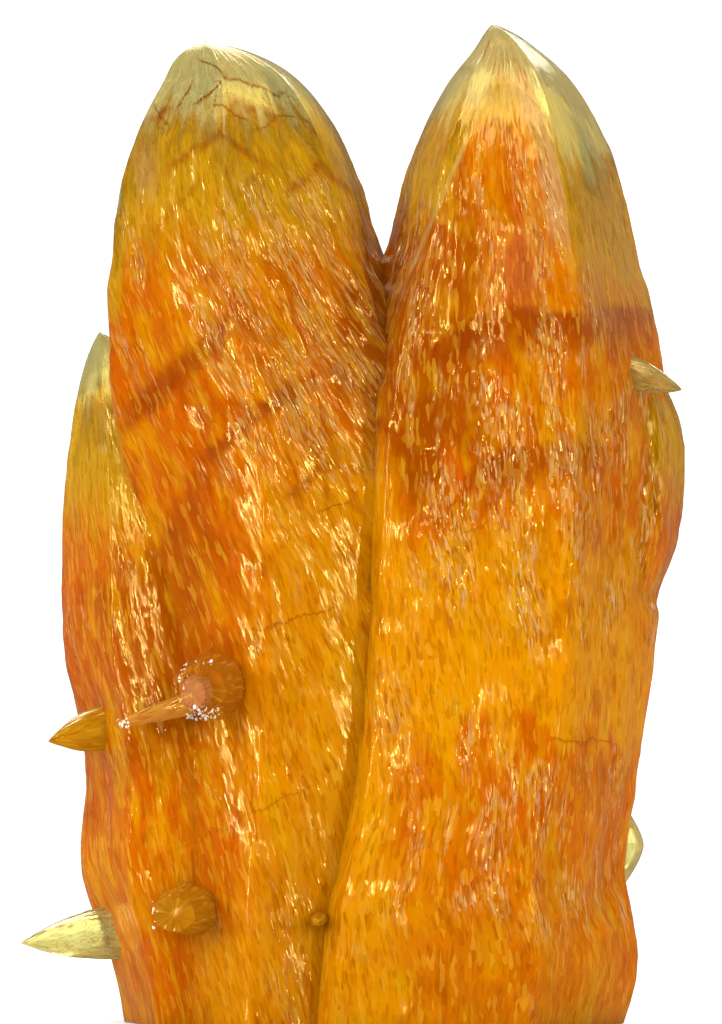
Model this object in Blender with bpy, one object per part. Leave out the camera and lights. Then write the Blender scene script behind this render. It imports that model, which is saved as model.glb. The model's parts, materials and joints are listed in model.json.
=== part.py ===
"""Calcite specimen, standing on the flat cut at its foot. Metres, +Z up, its front faces -Y.

Two tall crystals with six curved faces grew side by side. A shorter one stands behind the left one, another
behind both, and one swells out of the right flank. Their skins are made of small upright blades, and a few
small crystals point outwards. All of them grew together, so they are joined in one solid.
Sizes below are in millimetres.
"""

import math
import random
from collections import namedtuple

import bmesh
import bpy
from mathutils import Matrix, Vector, noise

MM = 0.001

# How far the crystals run below the base before the flat cut takes that off, and the size of the box that cuts
FOOT = 2.0
CUTTER_SIZE = 100.0

# Each section is a hexagon whose faces bulge a little
FACE_STEPS = 3
FACE_BULGE = 0.04
RING_SPACING = 2.8

# How fast a section narrows where it meets the tip, against a straight cone
TIP_ROUNDNESS = 1.6

# Slow swells of the skin, long in height and short across
SWELL = 0.45
SWELL_ACROSS = 7.0
SWELL_ALONG = 16.0

# height, and how far the section there reaches to the left, right, front and back
Station = namedtuple("Station", "height left right front back")

# corners: the hexagon's corners, anticlockwise from above, as shares of the section's half width and half depth
Crystal = namedtuple("Crystal", "name corners stations")

LEFT = Crystal(
    "left_crystal",
    ((-1, -0.2), (-0.15, -1), (0.8, -0.62), (1, 0.2), (0.15, 1), (-0.8, 0.6)),
    (
        Station(78.3, -11.8, -11.8, -1.0, -1.0),
        Station(77.2, -13.8, -7.5, -3.0, 1.4),
        Station(75.1, -15.0, -4.2, -5.4, 4.2),
        Station(71.5, -16.7, -1.5, -7.8, 6.6),
        Station(66.5, -18.2, 0.7, -9.9, 8.8),
        Station(61.0, -19.1, 2.5, -11.3, 10.6),
        Station(55.0, -19.5, 4.9, -12.5, 11.6),
        Station(48.0, -18.9, 6.8, -13.1, 12.2),
        Station(41.0, -17.6, 7.5, -13.4, 12.4),
        Station(30.0, -17.2, 7.4, -13.4, 12.4),
        Station(18.0, -17.5, 6.2, -13.0, 12.0),
        Station(8.0, -17.5, 4.4, -12.5, 11.4),
        Station(-FOOT, -16.9, 3.6, -11.9, 10.8),
    ),
)

RIGHT = Crystal(
    "right_crystal",
    ((-1, 0.1), (-0.66, -0.84), (0.45, -1), (1, -0.12), (0.55, 0.85), (-0.45, 1)),
    (
        Station(79.7, 11.2, 11.2, -0.6, -0.6),
        Station(77.6, 9.7, 14.9, -3.0, 2.2),
        Station(75.1, 7.8, 17.6, -5.2, 4.4),
        Station(71.0, 5.6, 19.9, -7.9, 7.0),
        Station(67.0, 3.9, 21.5, -9.7, 8.8),
        Station(61.8, 2.6, 23.0, -11.3, 10.6),
        Station(55.0, 0.2, 24.5, -12.8, 12.0),
        Station(47.0, -1.4, 25.0, -13.8, 12.8),
        Station(40.0, -1.9, 24.5, -14.2, 13.0),
        Station(30.0, -2.4, 24.0, -14.4, 12.8),
        Station(20.0, -3.0, 22.8, -14.5, 12.4),
        Station(11.0, -5.2, 21.9, -14.4, 11.8),
        Station(5.0, -6.2, 22.6, -14.1, 11.4),
        Station(-FOOT, -6.8, 20.9, -13.5, 10.8),
    ),
)

REAR_LEFT = Crystal(
    "rear_left_crystal",
    ((-1, -0.1), (-0.4, -0.9), (0.6, -1), (1, 0.1), (0.4, 0.95), (-0.6, 0.9)),
    (
        Station(55.2, -20.3, -20.3, 3.6, 3.6),
        Station(51.7, -21.7, -16.0, 0.2, 7.6),
        Station(46.0, -22.6, -12.5, -2.2, 10.6),
        Station(38.0, -23.2, -10.0, -5.0, 12.6),
        Station(30.0, -23.4, -9.0, -7.4, 13.4),
        Station(24.5, -22.2, -8.6, -8.4, 13.2),
        Station(19.0, -21.3, -8.6, -8.8, 12.8),
        Station(12.0, -21.6, -8.6, -8.8, 12.4),
        Station(5.0, -19.4, -8.6, -8.4, 11.8),
        Station(-FOOT, -18.0, -8.6, -7.8, 11.0),
    ),
)

REAR = Crystal(
    "rear_crystal",
    ((-1, -0.15), (-0.5, -0.9), (0.5, -1), (1, 0.15), (0.5, 0.85), (-0.45, 1)),
    (
        Station(50.5, 3.6, 3.6, 11.4, 11.4),
        Station(47.6, 0.8, 6.6, 8.4, 14.2),
        Station(42.0, -2.4, 9.6, 4.0, 16.0),
        Station(32.0, -4.6, 12.0, 0.0, 17.2),
        Station(20.0, -5.0, 13.0, 0.0, 17.0),
        Station(8.0, -4.4, 12.6, 0.0, 15.6),
        Station(-FOOT, -3.8, 12.0, 0.0, 14.4),
    ),
)

RIGHT_FLANK = Crystal(
    "right_flank_crystal",
    ((-1, 0.1), (-0.3, -0.95), (0.6, -1), (1, 0.0), (0.5, 0.9), (-0.5, 1)),
    (
        Station(55.0, 22.4, 22.4, -1.0, -1.0),
        Station(51.0, 19.0, 24.8, -3.8, 1.8),
        Station(48.0, 17.4, 26.1, -5.0, 3.4),
        Station(43.0, 16.0, 26.6, -5.8, 4.6),
        Station(39.0, 16.0, 26.2, -5.6, 4.6),
        Station(34.6, 17.0, 24.6, -4.6, 3.4),
        Station(26.0, 19.6, 21.6, -1.6, 0.4),
    ),
)

# The first of them is what the others are joined to
CRYSTALS = (RIGHT, LEFT, REAR_LEFT, REAR, RIGHT_FLANK)

# Blades of the skin: how many, the heights between which their middles lie, and the seed that places them
Coat = namedtuple("Coat", "crystal count lowest highest seed")
COATS = (
    Coat(LEFT, 58, 1.0, 70.0, 11),
    Coat(RIGHT, 64, 1.0, 71.0, 27),
    Coat(REAR_LEFT, 30, 2.0, 48.0, 5),
    Coat(REAR, 26, 2.0, 43.0, 8),
    Coat(RIGHT_FLANK, 10, 33.0, 49.0, 3),
)
BLADE_SIDES = 6
BLADE_HALF_LENGTH = (3.6, 8.0)
BLADE_HALF_WIDTH = (1.5, 3.1)
BLADE_HALF_THICKNESS = (0.8, 1.3)
BLADE_WAIST = -0.3  # its widest place, as a share of its half length above its middle
TIP_PROUD = (0.0, 0.45)
TAIL_SUNK = 0.7
BLADE_LEAN = 0.012  # of a turn, between its two ends
BLADE_SCATTER = 0.02  # of a turn, to either side of its place in the row
NEXT_BLADE = (math.sqrt(5) - 1) / 2  # of a turn, from one blade to the next: the golden share spreads them evenly
ROOM_TO_TIP = 1.9  # half lengths that a blade needs above its middle, or else it is made smaller

# Steps of turn and height over which the direction of the skin is measured
TURN_STEP = 0.01
HEIGHT_STEP = 1.0

# A small crystal that points outwards: from its root, inside the skin, to its tip or to where the tip was.
# width is across, in height, and depth is the other way. kept is the share of its length left by a break.
Point = namedtuple("Point", "name root tip width depth kept")
POINTS = (
    Point("lower_left_point", (-17.2, -1.0, 7.4), (-26.45, -2.6, 6.35), 4.6, 3.6, 1.0),
    Point("mid_left_point", (-18.4, -3.0, 23.8), (-24.2, -4.6, 22.5), 4.0, 2.8, 1.0),
    Point("upper_right_point", (21.4, -5.6, 52.0), (26.1, -7.8, 50.4), 2.9, 2.2, 1.0),
    Point("broken_stub", (-10.4, -8.0, 27.2), (-12.4, -18.6, 26.6), 5.9, 6.2, 0.66),
    Point("broken_stub_core", (-11.5, -10.0, 26.8), (-13.0, -20.0, 26.3), 3.6, 3.4, 0.66),
    Point("glassy_shard", (-12.0, -10.6, 25.9), (-18.9, -9.4, 23.8), 1.9, 1.9, 1.0),
    Point("lower_stub", (-12.2, -6.4, 9.5), (-15.0, -16.6, 8.8), 4.7, 6.0, 0.66),
    Point("front_chip", (-2.4, -8.6, 8.6), (-3.0, -14.0, 8.4), 1.5, 1.7, 0.8),
    Point("rear_left_point", (-13.0, 10.0, 33.0), (-16.0, 19.0, 31.6), 3.4, 3.0, 1.0),
    Point("rear_right_point", (17.0, 8.0, 24.0), (20.6, 17.6, 23.0), 3.2, 2.8, 1.0),
    Point("rear_stub", (3.0, 13.0, 16.0), (3.6, 21.5, 15.6), 4.2, 4.6, 0.6),
)
POINT_SIDES = 6
POINT_TURN = 18  # degrees, from its side to its first edge
POINT_RINGS = 6
POINT_TAPER = 2.3  # above 1 the sides curve outwards

# A clear lens of a crystal on the right flank, low down
LENS_MIDDLE = (20.9, 0.6, 14.1)
LENS_HALF_HEIGHT = 4.2
LENS_HALF_WIDTH = 2.4
LENS_HALF_DEPTH = 2.4

CRYSTAL_COLOUR = (0.90, 0.42, 0.05, 1.0)
CRYSTAL_ROUGHNESS = 0.22
CRYSTAL_IOR = 1.6
CRYSTAL_TRANSMISSION = 0.7


def clear_scene():
    for obj in list(bpy.data.objects):
        bpy.data.objects.remove(obj, do_unlink=True)


def new_collection(name, shown=True):
    collection = bpy.data.collections.new(name)
    collection.hide_render = not shown
    bpy.context.scene.collection.children.link(collection)
    return collection


def helper(name, mesh, collection):
    """An object that only takes part in a Boolean."""
    obj = bpy.data.objects.new(name, mesh)
    obj.hide_render = True
    obj.display_type = "WIRE"
    collection.objects.link(obj)
    return obj


def crystal_material():
    material = bpy.data.materials.new("honey_calcite")
    material.use_nodes = True
    shader = material.node_tree.nodes["Principled BSDF"]
    shader.inputs["Base Color"].default_value = CRYSTAL_COLOUR
    shader.inputs["Roughness"].default_value = CRYSTAL_ROUGHNESS
    shader.inputs["Metallic"].default_value = 0.0
    shader.inputs["IOR"].default_value = CRYSTAL_IOR
    shader.inputs["Transmission Weight"].default_value = CRYSTAL_TRANSMISSION
    return material


def reaches_at(stations, height):
    """How far a section reaches to the left, right, front and back, on a smooth curve through the stations."""
    lower = next(i for i, s in enumerate(stations[1:], 1) if s.height <= height or s is stations[-1])
    top, bottom = stations[lower - 1], stations[lower]
    above = stations[max(lower - 2, 0)]
    below = stations[min(lower + 1, len(stations) - 1)]
    span = top.height - bottom.height
    t = (top.height - height) / span
    reaches = []
    for side in ("left", "right", "front", "back"):
        a, b, c, d = (getattr(station, side) for station in (above, top, bottom, below))
        slope_top = (c - a) / (above.height - bottom.height) * span
        slope_bottom = (d - b) / (top.height - below.height) * span
        if above is top:
            slope_top = TIP_ROUNDNESS * (c - b)
        value = (2 * t**3 - 3 * t**2 + 1) * b + (t**3 - 2 * t**2 + t) * slope_top
        value += (3 * t**2 - 2 * t**3) * c + (t**3 - t**2) * slope_bottom
        reaches.append(value)
    return reaches


def skin_point(crystal, turn, height):
    """A point of the crystal's skin, a share of a turn round it from its first corner."""
    left, right, front, back = reaches_at(crystal.stations, height)
    face, along = divmod((turn % 1.0) * len(crystal.corners), 1.0)
    x0, y0 = crystal.corners[int(face)]
    x1, y1 = crystal.corners[(int(face) + 1) % len(crystal.corners)]
    bulge = 1 + FACE_BULGE * 4 * along * (1 - along)
    x = (x0 + (x1 - x0) * along) * bulge
    y = (y0 + (y1 - y0) * along) * bulge
    half_x, half_y = (right - left) / 2, (back - front) / 2
    point = Vector(((left + right) / 2 + x * half_x, (front + back) / 2 + y * half_y, height))
    place = Vector((point.x / SWELL_ACROSS, point.y / SWELL_ACROSS, height / SWELL_ALONG))
    outwards = Vector((x, y, 0)).normalized()
    fade_at_tip = min(1.0, half_x / SWELL_ACROSS)
    return point + outwards * SWELL * fade_at_tip * noise.noise(place)


def ring_heights(stations):
    """Heights of the rings, from below the tip down to the foot. They follow the stations near the tip."""
    foot = stations[-1].height
    heights = [s.height for s in stations[1:4]]
    lowest = heights[-1]
    count = math.ceil((lowest - foot) / RING_SPACING)
    return heights + [lowest + (foot - lowest) * (i + 1) / count for i in range(count)]


def loft(rings, tip=None):
    """A closed mesh through rings of points, from the tip down, with a flat or pointed end at its top."""
    shape = bmesh.new()
    loops = [[shape.verts.new(point * MM) for point in ring] for ring in rings]
    size = len(loops[0])
    for upper, lower in zip(loops, loops[1:]):
        for i in range(size):
            shape.faces.new((upper[i], lower[i], lower[(i + 1) % size], upper[(i + 1) % size]))
    if tip is None:
        shape.faces.new(loops[0])
    else:
        apex = shape.verts.new(Vector(tip) * MM)
        for i in range(size):
            shape.faces.new((apex, loops[0][i], loops[0][(i + 1) % size]))
    shape.faces.new(loops[-1][::-1])
    bmesh.ops.recalc_face_normals(shape, faces=shape.faces)
    mesh = bpy.data.meshes.new("loft")
    shape.to_mesh(mesh)
    shape.free()
    return mesh


def crystal_mesh(crystal):
    points = len(crystal.corners) * FACE_STEPS
    heights = ring_heights(crystal.stations)
    rings = [[skin_point(crystal, i / points, h) for i in range(points)] for h in heights]
    tip = crystal.stations[0]
    return loft(rings, (tip.left, tip.front, tip.height))


def blade_mesh(place, half_width, half_thickness, half_length, waist=0.0):
    """A six-sided spindle, long in the place matrix's Z and thin in its Y."""
    shape = bmesh.new()
    bmesh.ops.create_uvsphere(shape, u_segments=BLADE_SIDES, v_segments=2, radius=1)
    for vertex in shape.verts:
        if abs(vertex.co.z) < 0.5:
            vertex.co.z = waist
    size = Matrix.Diagonal((half_width, half_thickness, half_length, 1.0))
    quarter = Matrix.Rotation(math.radians(90), 4, "Z")
    bmesh.ops.transform(shape, matrix=Matrix.Scale(MM, 4) @ place @ size @ quarter, verts=shape.verts)
    mesh = bpy.data.meshes.new("blade")
    shape.to_mesh(mesh)
    shape.free()
    return mesh


def outwards_at(crystal, turn, height):
    """The direction straight out of the skin."""
    up = skin_point(crystal, turn, height + HEIGHT_STEP) - skin_point(crystal, turn, height - HEIGHT_STEP)
    around = skin_point(crystal, turn + TURN_STEP, height) - skin_point(crystal, turn - TURN_STEP, height)
    return around.cross(up).normalized()


def coat_with_blades(coat, collection):
    """Upright blades on the skin, each with its tail sunk in it and its tip at it or a little proud."""
    chance = random.Random(coat.seed)
    for i in range(coat.count):
        turn = i * NEXT_BLADE + chance.uniform(-BLADE_SCATTER, BLADE_SCATTER)
        share = (i + chance.random()) / coat.count
        height = coat.lowest + (coat.highest - coat.lowest) * share
        half_length = chance.uniform(*BLADE_HALF_LENGTH)
        room = coat.crystal.stations[0].height - height
        shrink = min(1.0, room / (ROOM_TO_TIP * half_length))
        half_length *= shrink
        lean = chance.uniform(-BLADE_LEAN, BLADE_LEAN)
        out = outwards_at(coat.crystal, turn, height)
        tip = skin_point(coat.crystal, turn + lean, height + half_length)
        tail = skin_point(coat.crystal, turn - lean, height - half_length)
        tip += out * chance.uniform(*TIP_PROUD) * shrink
        tail -= out * TAIL_SUNK * shrink
        up = (tip - tail).normalized()
        around = out.cross(up).normalized()
        axes = Matrix((around, up.cross(around), up)).transposed().to_4x4()
        place = Matrix.Translation((tip + tail) / 2) @ axes
        half_width = chance.uniform(*BLADE_HALF_WIDTH) * shrink
        half_thickness = chance.uniform(*BLADE_HALF_THICKNESS) * shrink
        mesh = blade_mesh(place, half_width, half_thickness, (tip - tail).length / 2, BLADE_WAIST)
        helper(f"{coat.crystal.name}_blade", mesh, collection)


def point_mesh(point):
    """A six-sided crystal with curved sides, pointed or broken off."""
    root, tip = Vector(point.root), Vector(point.tip)
    along = tip - root
    axis = along.normalized()
    side = axis.cross(Vector((0, 0, 1))).normalized()
    up = side.cross(axis)
    pointed = point.kept == 1.0
    rings = []
    for i in range(POINT_RINGS):
        share = point.kept * (1 - i / POINT_RINGS)
        if pointed:
            share = 1 - (i + 1) / POINT_RINGS
        size = (1 - share**POINT_TAPER) / 2
        ring = []
        for k in range(POINT_SIDES):
            angle = math.radians(360 * k / POINT_SIDES + POINT_TURN)
            across = side * math.cos(angle) * point.depth + up * math.sin(angle) * point.width
            ring.append(root + along * share + across * size)
        rings.append(ring)
    return loft(rings, point.tip if pointed else None)


def lens_mesh():
    place = Matrix.Translation(LENS_MIDDLE)
    return blade_mesh(place, LENS_HALF_WIDTH, LENS_HALF_DEPTH, LENS_HALF_HEIGHT)


def box_below_base(collection):
    """What cuts the foot off flat."""
    shape = bmesh.new()
    bmesh.ops.create_cube(shape, size=CUTTER_SIZE * MM)
    bmesh.ops.translate(shape, vec=(0, 0, -CUTTER_SIZE / 2 * MM), verts=shape.verts)
    mesh = bpy.data.meshes.new("below_base")
    shape.to_mesh(mesh)
    shape.free()
    return helper("below_base", mesh, collection)


def join_and_cut(grown, cutter):
    """The first crystal, joined with all the rest and cut off flat at the base, as one mesh."""
    body = helper("body", crystal_mesh(CRYSTALS[0]), bpy.context.scene.collection)
    join = body.modifiers.new("join", "BOOLEAN")
    join.operation = "UNION"
    join.operand_type = "COLLECTION"
    join.collection = grown
    cut = body.modifiers.new("cut", "BOOLEAN")
    cut.operation = "DIFFERENCE"
    cut.object = cutter
    bpy.context.view_layer.update()
    graph = bpy.context.evaluated_depsgraph_get()
    mesh = bpy.data.meshes.new_from_object(body.evaluated_get(graph))
    bpy.data.objects.remove(body, do_unlink=True)
    return mesh


def centre_on_base(mesh):
    """Moves the mesh so that the origin is at the middle of its box's bottom."""
    xs = [v.co.x for v in mesh.vertices]
    ys = [v.co.y for v in mesh.vertices]
    zs = [v.co.z for v in mesh.vertices]
    middle = Vector(((min(xs) + max(xs)) / 2, (min(ys) + max(ys)) / 2, min(zs)))
    mesh.transform(Matrix.Translation(-middle))


def main():
    clear_scene()
    grown = new_collection("grown_together", shown=False)
    cutters = new_collection("cutters", shown=False)
    for crystal in CRYSTALS[1:]:
        helper(crystal.name, crystal_mesh(crystal), grown)
    for coat in COATS:
        coat_with_blades(coat, grown)
    for point in POINTS:
        helper(point.name, point_mesh(point), grown)
    helper("lower_right_lens", lens_mesh(), grown)
    mesh = join_and_cut(grown, box_below_base(cutters))
    centre_on_base(mesh)
    mesh.name = "calcite_crystals"
    mesh.materials.clear()
    mesh.materials.append(crystal_material())
    specimen = new_collection("calcite_specimen")
    specimen.objects.link(bpy.data.objects.new("calcite_crystals", mesh))


main()
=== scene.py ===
"""Looks of the calcite specimen: a clear bladed skin over a cloudy orange inside.

Metres, +Z up, front faces -Y. The constants are in millimetres unless they say so, and the crystals' own are
the driving dimensions of the construction.
"""

import json
import math
from collections import namedtuple

import bmesh
import bpy
import numpy as np
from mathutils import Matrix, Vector, noise
from mathutils.bvhtree import BVHTree

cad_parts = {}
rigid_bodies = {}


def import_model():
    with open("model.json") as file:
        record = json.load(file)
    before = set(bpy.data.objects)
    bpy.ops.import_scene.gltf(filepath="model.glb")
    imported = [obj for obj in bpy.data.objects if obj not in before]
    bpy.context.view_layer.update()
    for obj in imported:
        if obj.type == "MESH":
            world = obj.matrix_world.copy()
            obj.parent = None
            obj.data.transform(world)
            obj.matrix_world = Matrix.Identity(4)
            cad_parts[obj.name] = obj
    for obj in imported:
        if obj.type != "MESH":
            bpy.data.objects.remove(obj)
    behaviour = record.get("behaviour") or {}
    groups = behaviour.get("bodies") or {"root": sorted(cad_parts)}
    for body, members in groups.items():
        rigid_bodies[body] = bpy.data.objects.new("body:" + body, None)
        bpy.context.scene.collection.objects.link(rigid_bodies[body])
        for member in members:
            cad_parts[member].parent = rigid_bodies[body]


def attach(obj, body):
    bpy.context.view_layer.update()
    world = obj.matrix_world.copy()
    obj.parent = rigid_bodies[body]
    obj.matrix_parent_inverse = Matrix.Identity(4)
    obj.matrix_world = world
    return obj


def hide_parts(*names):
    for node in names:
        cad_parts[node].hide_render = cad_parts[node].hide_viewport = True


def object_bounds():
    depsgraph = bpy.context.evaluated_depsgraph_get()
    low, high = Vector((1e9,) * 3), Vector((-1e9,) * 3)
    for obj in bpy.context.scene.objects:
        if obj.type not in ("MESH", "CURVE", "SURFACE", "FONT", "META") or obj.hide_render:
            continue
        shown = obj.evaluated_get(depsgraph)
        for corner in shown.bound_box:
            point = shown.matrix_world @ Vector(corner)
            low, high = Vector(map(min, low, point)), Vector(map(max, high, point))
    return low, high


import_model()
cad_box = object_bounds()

MM = 0.001
NODE = "calcite_crystals"
# How far the crystals go on below the base, before they are cut off there
FOOT = 2.0
# How far the middle of a face bulges, as a share, and how round a tip is
FACE_BULGE = 0.04
TIP_ROUNDNESS = 1.6
# The slow swells of the faces: how high, and how long across and along
SWELL = 0.45
SWELL_ACROSS = 7.0
SWELL_ALONG = 16.0

Station = namedtuple("Station", "height left right front back")

# corners: the hexagon's corners, as shares of the half width and half depth.
# around and rings: how finely the skin is made. girth: its usual way round.
# lean: how far the fibres of the skin lean over, across to down.
# cloudy: how much nearer to the tip the cloudy inside begins.
Crystal = namedtuple("Crystal", "name corners stations around rings girth lean cloudy seed")


def stations_of(*rows):
    """A crystal's sections, from its tip down."""
    return tuple(Station(*row) for row in rows)


LEFT = Crystal(
    "left_crystal",
    ((-1, -0.2), (-0.15, -1), (0.8, -0.62), (1, 0.2), (0.15, 1), (-0.8, 0.6)),
    stations_of(
        (78.3, -11.8, -11.8, -1.0, -1.0),
        (77.2, -13.8, -7.5, -3.0, 1.4),
        (75.1, -15.0, -4.2, -5.4, 4.2),
        (71.5, -16.7, -1.5, -7.8, 6.6),
        (66.5, -18.2, 0.7, -9.9, 8.8),
        (61.0, -19.1, 2.5, -11.3, 10.6),
        (55.0, -19.5, 4.9, -12.5, 11.6),
        (48.0, -18.9, 6.8, -13.1, 12.2),
        (41.0, -17.6, 7.5, -13.4, 12.4),
        (30.0, -17.2, 7.4, -13.4, 12.4),
        (18.0, -17.5, 6.2, -13.0, 12.0),
        (8.0, -17.5, 4.4, -12.5, 11.4),
        (-FOOT, -16.9, 3.6, -11.9, 10.8),
    ),
    around=256, rings=168, girth=76.0, lean=0.36, cloudy=0.0, seed=1,
)

RIGHT = Crystal(
    "right_crystal",
    ((-1, 0.1), (-0.66, -0.84), (0.45, -1), (1, -0.12), (0.55, 0.85), (-0.45, 1)),
    stations_of(
        (79.7, 11.2, 11.2, -0.6, -0.6),
        (77.6, 9.7, 14.9, -3.0, 2.2),
        (75.1, 7.8, 17.6, -5.2, 4.4),
        (71.0, 5.6, 19.9, -7.9, 7.0),
        (67.0, 3.9, 21.5, -9.7, 8.8),
        (61.8, 2.6, 23.0, -11.3, 10.6),
        (55.0, 0.2, 24.5, -12.8, 12.0),
        (47.0, -1.4, 25.0, -13.8, 12.8),
        (40.0, -1.9, 24.5, -14.2, 13.0),
        (30.0, -2.4, 24.0, -14.4, 12.8),
        (20.0, -3.0, 22.8, -14.5, 12.4),
        (11.0, -5.2, 21.9, -14.4, 11.8),
        (5.0, -6.2, 22.6, -14.1, 11.4),
        (-FOOT, -6.8, 20.9, -13.5, 10.8),
    ),
    around=268, rings=170, girth=80.0, lean=0.13, cloudy=2.0, seed=2,
)

REAR_LEFT = Crystal(
    "rear_left_crystal",
    ((-1, -0.1), (-0.4, -0.9), (0.6, -1), (1, 0.1), (0.4, 0.95), (-0.6, 0.9)),
    stations_of(
        (55.2, -20.3, -20.3, 3.6, 3.6),
        (51.7, -21.7, -16.0, 0.2, 7.6),
        (46.0, -22.6, -12.5, -2.2, 10.6),
        (38.0, -23.2, -10.0, -5.0, 12.6),
        (30.0, -23.4, -9.0, -7.4, 13.4),
        (24.5, -22.2, -8.6, -8.4, 13.2),
        (19.0, -21.3, -8.6, -8.8, 12.8),
        (12.0, -21.6, -8.6, -8.8, 12.4),
        (5.0, -19.4, -8.6, -8.4, 11.8),
        (-FOOT, -18.0, -8.6, -7.8, 11.0),
    ),
    around=188, rings=118, girth=54.0, lean=0.22, cloudy=1.0, seed=3,
)

REAR = Crystal(
    "rear_crystal",
    ((-1, -0.15), (-0.5, -0.9), (0.5, -1), (1, 0.15), (0.5, 0.85), (-0.45, 1)),
    stations_of(
        (50.5, 3.6, 3.6, 11.4, 11.4),
        (47.6, 0.8, 6.6, 8.4, 14.2),
        (42.0, -2.4, 9.6, 4.0, 16.0),
        (32.0, -4.6, 12.0, 0.0, 17.2),
        (20.0, -5.0, 13.0, 0.0, 17.0),
        (8.0, -4.4, 12.6, 0.0, 15.6),
        (-FOOT, -3.8, 12.0, 0.0, 14.4),
    ),
    around=176, rings=106, girth=52.0, lean=-0.1, cloudy=0.0, seed=4,
)

RIGHT_FLANK = Crystal(
    "right_flank_crystal",
    ((-1, 0.1), (-0.3, -0.95), (0.6, -1), (1, 0.0), (0.5, 0.9), (-0.5, 1)),
    stations_of(
        (55.0, 22.4, 22.4, -1.0, -1.0),
        (51.0, 19.0, 24.8, -3.8, 1.8),
        (48.0, 17.4, 26.1, -5.0, 3.4),
        (43.0, 16.0, 26.6, -5.8, 4.6),
        (39.0, 16.0, 26.2, -5.6, 4.6),
        (34.6, 17.0, 24.6, -4.6, 3.4),
        (26.0, 19.6, 21.6, -1.6, 0.4),
    ),
    around=132, rings=64, girth=30.0, lean=0.1, cloudy=4.0, seed=5,
)

CRYSTALS = (RIGHT, LEFT, REAR_LEFT, REAR, RIGHT_FLANK)

# A small crystal that points outwards, from its root inside the skin to its tip or to where the tip was.
# width is its size up and down at the root, and depth its size sideways. kept is the share of its length
# that a break has left. pale is how clear it is, up to 1, or how brown, down to -1. lilac is how much it is
# greyed. inner is how far below a tip its colour comes from.
Point = namedtuple("Point", "name root tip width depth kept pale lilac inner")
LOWER_LEFT_TIP = (-26.45, -2.6, 6.35)
REAR_LEFT_POINT_TIP = (-16.0, 19.0, 31.6)
POINTS = (
    Point("lower_left_point", (-17.2, -1.0, 7.4), LOWER_LEFT_TIP, 4.6, 3.6, 1.0, 0.3, 0.0, 4.5),
    Point("mid_left_point", (-18.4, -3.0, 23.8), (-24.2, -4.6, 22.5), 4.0, 2.8, 1.0, -0.15, 0.0, 13.5),
    Point("upper_right_point", (21.4, -5.6, 52.0), (26.1, -7.8, 50.4), 2.9, 2.2, 1.0, 0.4, 0.1, 7.0),
    Point("broken_stub", (-10.4, -8.0, 27.2), (-12.4, -18.6, 26.6), 5.9, 6.2, 0.66, -0.6, 0.0, 30.0),
    Point("broken_stub_core", (-11.5, -10.0, 26.8), (-13.0, -20.0, 26.3), 3.6, 3.4, 0.66, 0.0, 0.45, 20.0),
    Point("glassy_shard", (-12.0, -10.6, 25.9), (-18.9, -9.4, 23.8), 1.9, 1.9, 1.0, 0.0, 0.2, 15.0),
    Point("lower_stub", (-12.2, -6.4, 9.5), (-15.0, -16.6, 8.8), 4.7, 6.0, 0.66, -0.4, 0.0, 15.0),
    Point("front_chip", (-2.4, -8.6, 8.6), (-3.0, -14.0, 8.4), 1.5, 1.7, 0.8, 0.0, 0.0, 15.0),
    Point("rear_left_point", (-13.0, 10.0, 33.0), REAR_LEFT_POINT_TIP, 3.4, 3.0, 1.0, 0.4, 0.0, 7.0),
    Point("rear_right_point", (17.0, 8.0, 24.0), (20.6, 17.6, 23.0), 3.2, 2.8, 1.0, 0.4, 0.0, 7.0),
    Point("rear_stub", (3.0, 13.0, 16.0), (3.6, 21.5, 15.6), 4.2, 4.6, 0.6, -0.6, 0.0, 20.0),
)
# The small crystals' sides, their turn in degrees, how rounded and tapered they are, and how finely made
POINT_SIDES = 6
POINT_TURN = 18
POINT_ROUNDING = 0.5
POINT_TAPER = 2.3
POINT_AROUND = 36
POINT_RINGS = 26
# How far a point's skin stands out, and the rings and the roughness of a broken end
POINT_RELIEF = 0.07
CAP_RINGS = 6
CAP_RELIEF = 0.22

# How many vertices deep a join's new vertices may lie
SEAM_PASSES = 8

LENS_MIDDLE = (20.9, 0.6, 14.1)
LENS_HALF_HEIGHT = 4.2
LENS_HALF_WIDTH = 2.4
LENS_HALF_DEPTH = 2.4

# Pointed shingles of the skin, from coarse to fine: how wide and long one is, and how far it stands out
Shingle = namedtuple("Shingle", "wide long proud")
SHINGLES = (Shingle(4.8, 6.4, 0.80), Shingle(2.2, 3.4, 0.24), Shingle(0.9, 1.7, 0.10))
FLAMES = (Shingle(2.6, 5.6, 1.0), Shingle(1.1, 2.8, 1.0))
# How far the flames of colour stray sideways
STRAY = 2.4
# How steeply a blade falls above its point, below it and beside it: for the form, and for the colours
FORM_FALLS = (3.0, 0.5, 0.8)
FLAME_FALLS = (2.0, 0.4, 1.9)
SILK_FALLS = (1.3, 0.35, 1.15)
SIDE_SHARE = 0.4
# How much of the relief the smoother places keep
SMOOTH_SHARE = 0.45
# The patches that the silky sheen follows: its painted sheen and glints, and the tilt of the fibres
SILK = Shingle(3.0, 7.0, 1.0)
# The fibres wander sideways by up to this much, over patches of this size
WANDER = 0.8
WANDER_PATCH = 9.0
# How far below a tip the relief is full, how far below it the fibres begin to lean, and how much closer
# together the points are at the front
TIP_FADE = 13.0
LEAN_START = 8.0
FRONT_SHARE = 0.3

# The cloudy inside: how far its tips lie below the crystals' tips, over what length that dies away, how far
# it lies under the skin, how much further near a tip, and how finely it is made
CORE_TIP_DEPTH = 5.0
CORE_TIP_LENGTH = 18.0
CORE_INSET = 0.6
CORE_TIP_INSET = 1.8
CORE_AROUND = 0.6

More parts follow.
